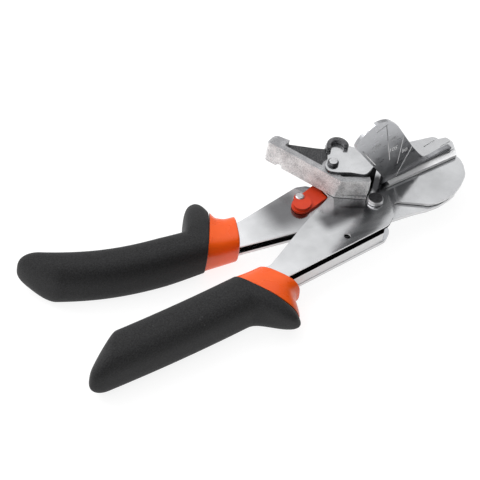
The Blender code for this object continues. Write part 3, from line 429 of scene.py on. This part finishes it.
# Glossy orange collar moulding.
collarLook = {
    "dark": "#ee540a", "light": "#f65e10", "toneSpan": (0.3, 0.7), "smooth": 0.22, "rough": 0.34,
    "cloudSize": 12 * mm, "cloudDetail": 3.0, "peelSize": 1.5 * mm, "peelDetail": 2.0,
    "peelBump": 0.12, "peelDepth": 0.1 * mm,
}
orangePlastic = plasticMaterial("glossy orange plastic", collarLook)

# Red-orange lock lever moulding.
leverLook = dict(collarLook, dark="#be2c00", light="#d23600", smooth=0.42, rough=0.6)
redPlastic = plasticMaterial("red lever plastic", leverLook)

# Scale lines and numbers: painted white low down and grey higher up, as the photograph's read.
engraveLook = dict(scaleLook, dark="#d6d6d8", light="#efeff0", smooth=0.4, rough=0.55,
                   paintedLightAndShadeZones=[], wallSpan=(21.0, 75.0), wallMetal=0.05,
                   wall=[(0.0, "#ffffff"), (0.55, "#f6f6f6"), (0.68, "#6a6a6c"), (1.0, "#48484a")])
engraveMetal = metalMaterial("engraved line", engraveLook)
print("materials made")


# CAD nodes that keep their own solid: welded, then a small edge radius for the light to catch.
shownNodes = {
    "front_handle_channel": (frontMetal, 0.5 * mm),
    "back_handle_channel": (backMetal, 0.5 * mm),
    "anvil_lower_plate": (jawMetal, 0.3 * mm),
    "anvil_spacer": (pinMetal, 0.15 * mm),
    "anvil_rivet_heel": (pinMetal, 0.25 * mm),
    "anvil_rivet_tip": (pinMetal, 0.25 * mm),
    "mitre_scale": (scaleMetal, 0.3 * mm),
    "stop_bracket": (bracketMetal, 0.3 * mm),
    "bracket_rivet_near": (pinMetal, 0.2 * mm),
    "bracket_rivet_far": (pinMetal, 0.2 * mm),
    "bracket_arch": (paintedShadeCastMetal, 0.5 * mm),
    "stop_rivet": (rivetMetal, 0.35 * mm),
    "pivot_bolt": (boltMetal, 0.5 * mm),
    "pivot_nut": (pinMetal, 0.4 * mm),
    "pivot_washer": (pinMetal, 0.1 * mm),
    "pivot_sleeve": (pinMetal, 0.1 * mm),
    "return_spring": (pinMetal, 0),
    "front_grip_collar": (orangePlastic, 0),
    "front_grip_sleeve": (foamRubber, 0),
    "back_grip_collar": (orangePlastic, 0),
    "back_grip_sleeve": (foamRubber, 0),
    "blade": (bladeMetal, 0.12 * mm),
    "blade_rivet_heel": (pinMetal, 0.15 * mm),
    "blade_rivet_tip": (pinMetal, 0.15 * mm),
    "lock_rivet": (rivetMetal, 0.2 * mm),
    "lock_lever": (redPlastic, 0.6 * mm),
    "angle_stop": (castMetal, 0.5 * mm),
}


edgeLook = {"weld": 0.001 * mm, "segments": 3, "angle": math.radians(40)}


def dressNode(name, material, edge):
    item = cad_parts[name]
    item.data.materials.clear()
    item.data.materials.append(material)
    if edge > 0:
        weld = item.modifiers.new("weld", "WELD")
        weld.merge_threshold = edgeLook["weld"]
        bevel = item.modifiers.new("edgeRadius", "BEVEL")
        bevel.width = edge
        bevel.segments = edgeLook["segments"]
        bevel.limit_method = "ANGLE"
        bevel.angle_limit = edgeLook["angle"]
        bevel.use_clamp_overlap = True
        bevel.harden_normals = True


for nodeName, (nodeMaterial, nodeEdge) in shownNodes.items():
    dressNode(nodeName, nodeMaterial, nodeEdge)
print("nodes dressed")


# Grips: superellipse sections along a curved centre line. A section is wider on its outer side
# where the finger lobe stands, its plane leans at the rim, the seam and the end, and the far end
# closes like an ellipse. Lengths in millimetres, shares and slopes without unit.
gripLook = {
    "rise": 13.5, "round": 10.0, "power": 2.9, "edge": 0.8, "thin": 0.15,
    "around": 96, "corner": (0, 25, 50, 70, 90), "sleeveRows": 120, "rowPower": 1.25,
    "tipRows": 22, "tipTurn": 88, "collarRows": 30, "sleeveGap": 0.15, "collarGap": 0.1,
    "sleeveEdge": 0.8, "pocketGap": 0.6, "mouth": 12.0, "sharp": 50, "collarRuler": 200,
    "sleeveRuler": 900, "swellSoft": 2.0, "riseSoft": 5.0, "lobeSoft": 1.6, "leanSoft": 6.0,
    "riseLobes": 2, "fadeLobes": 1.25, "endRounds": 3, "tipShare": 0.02,
}
frontGrip = {
    "line": [(-71.0, -20.1), (-105.0, -23.2), (-141.6, -25.9), (-188.5, -25.7)], "out": -1,
    "half": 11.4, "rimHalf": 11.3, "rimInner": 11.3, "rimRise": 10.3, "seam": 19.0, "seamStep": 0.3,
    "lobe": 15.6, "lobeLength": 13.0, "rimStart": 2.9, "seamShare": 1.0, "rimLean": 27.0,
    "seamLean": 26.0, "tilt": 0.40, "endLean": -54.0, "low": 5.7, "high": 21.3,
    "swell": [(0.0, 0.0), (0.35, 0.04), (0.5, 0.18), (0.65, 0.46), (0.78, 0.72), (0.9, 0.90),
              (1.0, 1.0)],
    "lobeShares": [(0.0, 0.68), (0.10, 0.86), (0.20, 0.97), (0.28, 1.0), (0.36, 0.96), (0.45, 0.82),
                   (0.54, 0.60), (0.63, 0.37), (0.74, 0.16), (0.88, 0.04), (1.0, 0.0)],
    "pocket": [(-74.0, -12.64), (-131.34, -17.02), (-130.25, -28.97), (-71.04, -23.4)],
    "body": "anvil_side", "label": "front",
}
backGrip = {
    "line": [(-75.6, 14.6), (-121.4, 19.4), (-146.0, 17.2), (-188.6, 42.1)], "out": 1,
    "half": 9.7, "rimHalf": 11.3, "rimInner": 9.7, "rimRise": 9.75, "seam": 16.6, "seamStep": 1.1,
    "lobe": 18.2, "lobeLength": 13.0, "rimStart": 1.2, "seamShare": 0.85, "rimLean": 16.0,
    "seamLean": 29.0, "tilt": 0.0, "endLean": -51.0, "low": 8.5, "high": 17.2,
    "swell": [(0.0, 0.0), (0.43, 0.06), (0.76, 0.40), (0.90, 0.74), (1.0, 1.0)],
    "lobeShares": [(0.0, 0.50), (0.10, 0.68), (0.20, 0.86), (0.30, 0.98), (0.38, 1.0), (0.48, 0.97),
                   (0.58, 0.83), (0.66, 0.60), (0.73, 0.30), (0.80, 0.08), (0.90, 0.0)],
    "pocket": [(-78.28, 7.375), (-135.16, 14.59), (-133.90, 26.53), (-70.68, 22.42)],
    "body": "blade_side", "label": "back",
}


# Values along a fine ruler of stations, averaged over a few millimetres so no crease shows.
def softened(ruler, values, width):
    count = max(3, int(round(width / (ruler[1] - ruler[0]))) | 1)
    return np.convolve(np.pad(values, count // 2, mode="edge"), np.ones(count) / count, "valid")


# Grid of points: one row per station, given in millimetres along the centre line. A section is
# a superellipse, its half width grown by the lobe on the outer side only.
def gripSurface(look, grip, stations, around, collar):
    a, b, c, e = [np.array(point) for point in grip["line"]]
    length = np.linalg.norm(e - a)
    seam = grip["seam"]
    d = np.asarray(stations)[:, None]
    t = d / length
    u = 1 - t
    line = a * u ** 3 + b * 3 * t * u * u + c * 3 * t * t * u + e * t ** 3
    slope = (b - a) * 3 * u * u + (c - b) * 6 * t * u + (e - c) * 3 * t * t
    slope = slope / np.linalg.norm(slope, axis=1, keepdims=True)
    side = np.stack([-slope[:, 1], slope[:, 0]], 1)
    side = side * (np.sign(side[:, 1:]) * grip["out"])
    if collar:
        ruler = np.linspace(0, seam, look["collarRuler"])
        share = ruler / seam
        grow = share ** 2
        inner = grip["rimInner"] + (grip["half"] - grip["seamStep"] - grip["rimInner"]) * grow
        base = grip["rimHalf"] + (grip["half"] - grip["rimHalf"]) * grow
        rise = grip["rimRise"] + (look["rise"] * grip["seamShare"] - grip["rimRise"]) * grow
        places, shares = np.array(grip["swell"]).T
        swell = softened(ruler, np.interp(share, places, shares), look["swellSoft"])
        lobe = grip["lobe"] * grip["lobeShares"][0][1] * swell
        lean = np.radians(grip["rimLean"] + (grip["seamLean"] - grip["rimLean"]) * share)
        tilt = grip["tilt"] * share
    else:
        ruler = np.linspace(seam, length, look["sleeveRuler"])
        past = (ruler - seam) / grip["lobeLength"]
        inner = np.full_like(ruler, grip["half"])
        base = inner
        grow = grip["seamShare"] + (1 - grip["seamShare"]) * past / look["riseLobes"]
        rise = look["rise"] * softened(ruler, np.minimum(1, grow), look["riseSoft"])
        places, shares = np.array(grip["lobeShares"]).T
        lobe = grip["lobe"] * softened(ruler, np.interp(past, places, shares), look["lobeSoft"])
        fade = softened(ruler, np.clip(1 - past / look["fadeLobes"], 0, 1), look["leanSoft"])
        end = np.clip(1 - (length - ruler) / (look["endRounds"] * look["round"]), 0, 1)
        end = softened(ruler, end, look["leanSoft"])
        lean = np.radians(grip["seamLean"]) * fade + np.radians(grip["endLean"]) * end
        tilt = grip["tilt"] * fade

    def at(values):
        return np.interp(d, ruler, values)

    left = length - d
    close = np.sqrt(np.clip(1 - (1 - left / look["round"]) ** 2, 0, 1))
    close = np.where(left < look["round"], close, 1.0)
    angle = np.linspace(0, 2 * np.pi, around, endpoint=False)[None, :]
    c = np.sign(np.cos(angle)) * np.abs(np.cos(angle)) ** (2 / look["power"])
    s = np.sign(np.sin(angle)) * np.abs(np.sin(angle)) ** (2 / look["power"])
    across = c * np.where(c > 0, at(base) + at(lobe), at(inner)) * close
    thin = 1 - look["thin"] * np.maximum(0, across - grip["half"]) / grip["lobe"]
    up = s * at(rise) * np.maximum(close, look["tipShare"])
    ahead = at(tilt) * up - across * np.tan(at(lean))
    x = line[:, :1] + side[:, :1] * across + slope[:, :1] * ahead
    y = line[:, 1:] + side[:, 1:] * across + slope[:, 1:] * ahead
    return np.stack([x, y, look["rise"] + up * thin], 2) * mm


# Four-sided faces between rings of points that follow one another.
def gridFaces(rows, around):
    i = np.arange(rows - 1)[:, None] * around
    j = np.arange(around)[None, :]
    n = (j + 1) % around
    return np.stack([i + j, i + n, i + around + n, i + around + j], 2).reshape(-1, 4)


# Closed body over a grid of rings, with a flat face on each end ring.
def closedLoft(name, grid):
    rows, around, _ = grid.shape
    bm = bmesh.new()
    verts = [bm.verts.new(p) for p in grid.reshape(-1, 3)]
    for face in gridFaces(rows, around):
        bm.faces.new([verts[k] for k in face])
    bm.faces.new(verts[:around][::-1])
    bm.faces.new(verts[-around:])
    bmesh.ops.recalc_face_normals(bm, faces=bm.faces[:])
    mesh = bpy.data.meshes.new(name)
    bm.to_mesh(mesh)
    bm.free()
    return mesh


# A ring drawn in towards its own middle by a fixed distance.
def insetRing(ring, amount):
    middle = ring.mean(0)
    ray = ring - middle
    reach = np.linalg.norm(ray, axis=1, keepdims=True)
    return middle + ray * (1 - amount / np.maximum(reach, 1e-6))


def finishedMesh(item):
    bpy.context.view_layer.update()
    return bpy.data.meshes.new_from_object(
        item.evaluated_get(bpy.context.evaluated_depsgraph_get()))


# Cuts a solid out of a piece, keeps the result and drops the solid.
def carve(item, tool):
    step = item.modifiers.new("carve", "BOOLEAN")
    step.operation = "DIFFERENCE"
    step.solver = "EXACT"
    step.object = tool
    shape = finishedMesh(item)
    item.modifiers.clear()
    item.data = shape
    bpy.data.objects.remove(tool)


# An outline raised straight up between two heights.
def prism(name, outline, low, high):
    bm = bmesh.new()
    base = bm.faces.new([bm.verts.new((x, y, low)) for x, y in outline])
    top = bmesh.ops.extrude_face_region(bm, geom=[base])
    moved = [v for v in top["geom"] if isinstance(v, bmesh.types.BMVert)]
    bmesh.ops.translate(bm, vec=(0, 0, high - low), verts=moved)
    bmesh.ops.recalc_face_normals(bm, faces=bm.faces[:])
    mesh = bpy.data.meshes.new(name)
    bm.to_mesh(mesh)
    bm.free()
    item = bpy.data.objects.new(name, mesh)
    bpy.context.scene.collection.objects.link(item)
    return item


def placeMesh(name, mesh, material, body, replaced=()):
    mesh.materials.clear()
    mesh.materials.append(material)
    item = bpy.data.objects.new(name, mesh)
    bpy.context.scene.collection.objects.link(item)
    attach(item, body)
    if replaced:
        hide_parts(*replaced)
    return item


def makeGrip(look, grip):
    start, end = [np.array(grip["line"][k]) for k in (0, 3)]
    length = np.linalg.norm(end - start)
    around = look["around"]
    corner = np.radians(np.array(look["corner"]))
    easeIn = look["edge"] * (1 - np.cos(corner))
    inset = look["edge"] * (1 - np.sin(corner)) * mm

    body = np.linspace(0, 1, look["sleeveRows"]) ** look["rowPower"]
    body = body * (length - look["round"] - grip["seam"] - look["edge"])
    body = body + grip["seam"] + look["edge"]
    turn = np.radians(np.linspace(0, look["tipTurn"], look["tipRows"]))[1:]
    tip = length - look["round"] + look["round"] * np.sin(turn)
    stations = np.concatenate([grip["seam"] + look["sleeveGap"] + easeIn[:-1], body, tip])
    grid = gripSurface(look, grip, stations, around, False)
    for row in range(len(easeIn) - 1):
        grid[row] = insetRing(grid[row], inset[row] * look["sleeveEdge"])
    mesh = closedLoft(grip["label"] + "Sleeve", grid)
    mesh.shade_smooth()
    mesh.set_sharp_from_angle(angle=math.radians(look["sharp"]))
    placeMesh(grip["label"] + "FoamSleeve", mesh, foamRubber, grip["body"],
              [grip["label"] + "_grip_sleeve"])

    wall = np.linspace(grip["rimStart"] + look["edge"], grip["seam"] - look["collarGap"],
                       look["collarRows"])
    stations = np.concatenate([grip["rimStart"] + easeIn[:-1], wall])
    grid = gripSurface(look, grip, stations, around, True)
    for row in range(len(easeIn) - 1):
        grid[row] = insetRing(grid[row], inset[row])
    mesh = closedLoft(grip["label"] + "Collar", grid)
    innerNeck, tangInner, tangOuter, outerNeck = [Vector(p) * mm for p in grip["pocket"]]
    across = (tangOuter - tangInner).normalized() * look["pocketGap"] * mm
    mouth = Vector((look["mouth"] * mm, 0))
    outline = [innerNeck - across + mouth, innerNeck - across, tangInner - across,
               tangOuter + across, outerNeck + across, outerNeck + across + mouth]
    item = placeMesh(grip["label"] + "GlossCollar", mesh, orangePlastic, grip["body"],
                     [grip["label"] + "_grip_collar"])
    carve(item, prism("pocketTool", outline, grip["low"] * mm, grip["high"] * mm))
    item.data.shade_smooth()
    item.data.set_sharp_from_angle(angle=math.radians(look["sharp"]))


makeGrip(gripLook, frontGrip)
makeGrip(gripLook, backGrip)
print("grips made")


# Scale markings: fine strips and numbers standing a hair proud of the scale's front face.
# A mark is drawn in the plane of the face: distance along the anvil's edge, and height over it.
scaleFace = {"angle": 5.28, "edgeY": 7.35 * mm, "foot": 21.3 * mm, "proud": 0.05 * mm,
             "sunk": 0.2 * mm}
markLook = {
    "lines": [((3.9, 49.2), (12.5, 17.6), 0.38), ((19.0, 33.5), (19.0, 11.6), 0.38),
              ((27.5, 20.3), (20.2, 1.0), 0.5), ((-9.9, 37.0), (2.2, 19.7), 0.5)],
    "arc": {"middle": (19.0, -5.8), "reach": 57.0, "from": 104.5, "to": 112.0, "width": 0.38},
    "arcSteps": 8,
    "numbers": [("120", (-3.6, 33.4), 3.2), ("105", (10.2, 24.6), 3.0), ("45", (9.6, 33.6), 2.6),
                ("90", (20.2, 18.6), 3.0)],
    "fontScale": 1.35, "fontDepth": 0.12 * mm, "fontSunk": 0.06 * mm, "fontSteps": 3,
}


barFaces = ((0, 1, 2, 3), (4, 7, 6, 5), (0, 4, 5, 1), (1, 5, 6, 2), (2, 6, 7, 3), (3, 7, 4, 0))


# World points from distances along the edge, heights and how far they stand out.
def onScale(s, z, out):
    lean = math.radians(scaleFace["angle"])
    along = np.array([math.cos(lean), math.sin(lean)])
    normal = np.array([-along[1], along[0]])
    foot = normal * (scaleFace["edgeY"] * math.cos(lean))
    s, z, out = np.broadcast_arrays(*[np.asarray(value, float) for value in (s, z, out)])
    flat = foot + along * s[..., None] - normal * out[..., None]
    return np.concatenate([flat, (z + scaleFace["foot"])[..., None]], -1)


def makeMarks(look):
    points = []
    faces = []

    # A low bar between two points of the face.
    def bar(a, b, width):
        a, b = np.array(a) * mm, np.array(b) * mm
        side = (b - a) / np.linalg.norm(b - a)
        side = np.array([-side[1], side[0]]) * width * mm / 2
        first = len(points)
        for out in (-scaleFace["sunk"], scaleFace["proud"]):
            for corner in (a - side, b - side, b + side, a + side):
                points.append(onScale(corner[0], corner[1], out))
        for face in barFaces:
            faces.append([first + k for k in face])

    for a, b, width in look["lines"]:
        bar(a, b, width)
    arc = look["arc"]
    turns = np.radians(np.linspace(arc["from"], arc["to"], look["arcSteps"] + 1))
    ends = [(arc["middle"][0] + arc["reach"] * math.cos(t),
             arc["middle"][1] + arc["reach"] * math.sin(t)) for t in turns]
    for a, b in zip(ends, ends[1:]):
        bar(a, b, arc["width"])
    mesh = bpy.data.meshes.new("scaleLines")
    mesh.from_pydata([tuple(p) for p in points], [], faces)
    mesh.validate()
    placeMesh("scaleLines", mesh, engraveMetal, "anvil_side")

    for k, (word, (s, z), height) in enumerate(look["numbers"]):
        curve = bpy.data.curves.new("numberCurve", "FONT")
        curve.body = word
        curve.size = height * look["fontScale"] * mm
        curve.extrude = look["fontDepth"]
        curve.resolution_u = look["fontSteps"]
        holder = bpy.data.objects.new("numberCurve", curve)
        bpy.context.scene.collection.objects.link(holder)
        mesh = finishedMesh(holder)
        bpy.data.objects.remove(holder)
        flat = np.zeros(len(mesh.vertices) * 3)
        mesh.vertices.foreach_get("co", flat)
        flat = flat.reshape(-1, 3)
        world = onScale(flat[:, 0] + s * mm, flat[:, 1] + z * mm, flat[:, 2] - look["fontSunk"])
        mesh.vertices.foreach_set("co", world.reshape(-1))
        mesh.update()
        placeMesh("scaleNumber%d" % (k + 1), mesh, engraveMetal, "anvil_side")


makeMarks(markLook)
print("scale marks made")


# Studio: a grey floor that glows, so that it renders white, and a soft sky that is bright behind
# the tool and dim in front of it.
studioLook = {
    "floorSize": 6.0,
    "floorDepth": 0.05 * mm,
    "floorColour": "#868686",
    "floorGlow": 0.86,
    "floorRough": 0.9,
    "skyBright": 1.0,
    "skyDark": 0.05,
    "skySpan": (-0.05, 0.75),
    "skyStrength": 0.8,
    "skyTowards": (-0.2, 0.8, 0.57),
    "lamps": [("keySoftbox", (-0.6, 0.9, 1.3), 1.3, 16.0),
              ("fillSoftbox", (-1.4, -0.5, 1.2), 1.6, 9.0),
              ("topSoftbox", (0.2, 0.1, 1.8), 2.0, 6.0)],
    "lampAim": (-0.07, 0, 0),
}


def makeStudio(look):
    bpy.ops.mesh.primitive_plane_add(size=look["floorSize"], location=(0, 0, -look["floorDepth"]))
    floor = bpy.context.object
    floor.name = "studioFloor"
    material, tree, shader = newMaterial("white studio floor")
    shader.inputs["Base Color"].default_value = paint(look["floorColour"])
    shader.inputs["Roughness"].default_value = look["floorRough"]
    shader.inputs["Specular IOR Level"].default_value = 0.0
    shader.inputs["Emission Color"].default_value = (1, 1, 1, 1)
    shader.inputs["Emission Strength"].default_value = look["floorGlow"]
    floor.data.materials.append(material)

    world = bpy.data.worlds.new("studioSky")
    bpy.context.scene.world = world
    world.use_nodes = True
    tree = world.node_tree
    ray = addNode(tree, "ShaderNodeTexCoord").outputs["Generated"]
    towards = Vector(look["skyTowards"]).normalized()
    lean = addNode(tree, "ShaderNodeVectorMath", {1: towards}, {0: ray},
                   operation="DOT_PRODUCT").outputs["Value"]
    level = mapped(tree, lean, look["skySpan"], (look["skyDark"], look["skyBright"]), "SMOOTHSTEP")
    tree.links.new(level, tree.nodes["Background"].inputs["Color"])
    tree.nodes["Background"].inputs["Strength"].default_value = look["skyStrength"]

    for name, place, size, power in look["lamps"]:
        data = bpy.data.lights.new(name, "AREA")
        data.shape = "SQUARE"
        data.size = size
        data.energy = power
        lamp = bpy.data.objects.new(name, data)
        lamp.location = place
        ray = Vector(look["lampAim"]) - Vector(place)
        lamp.rotation_euler = ray.to_track_quat("-Z", "Y").to_euler()
        bpy.context.scene.collection.objects.link(lamp)


makeStudio(studioLook)
print("studio made")
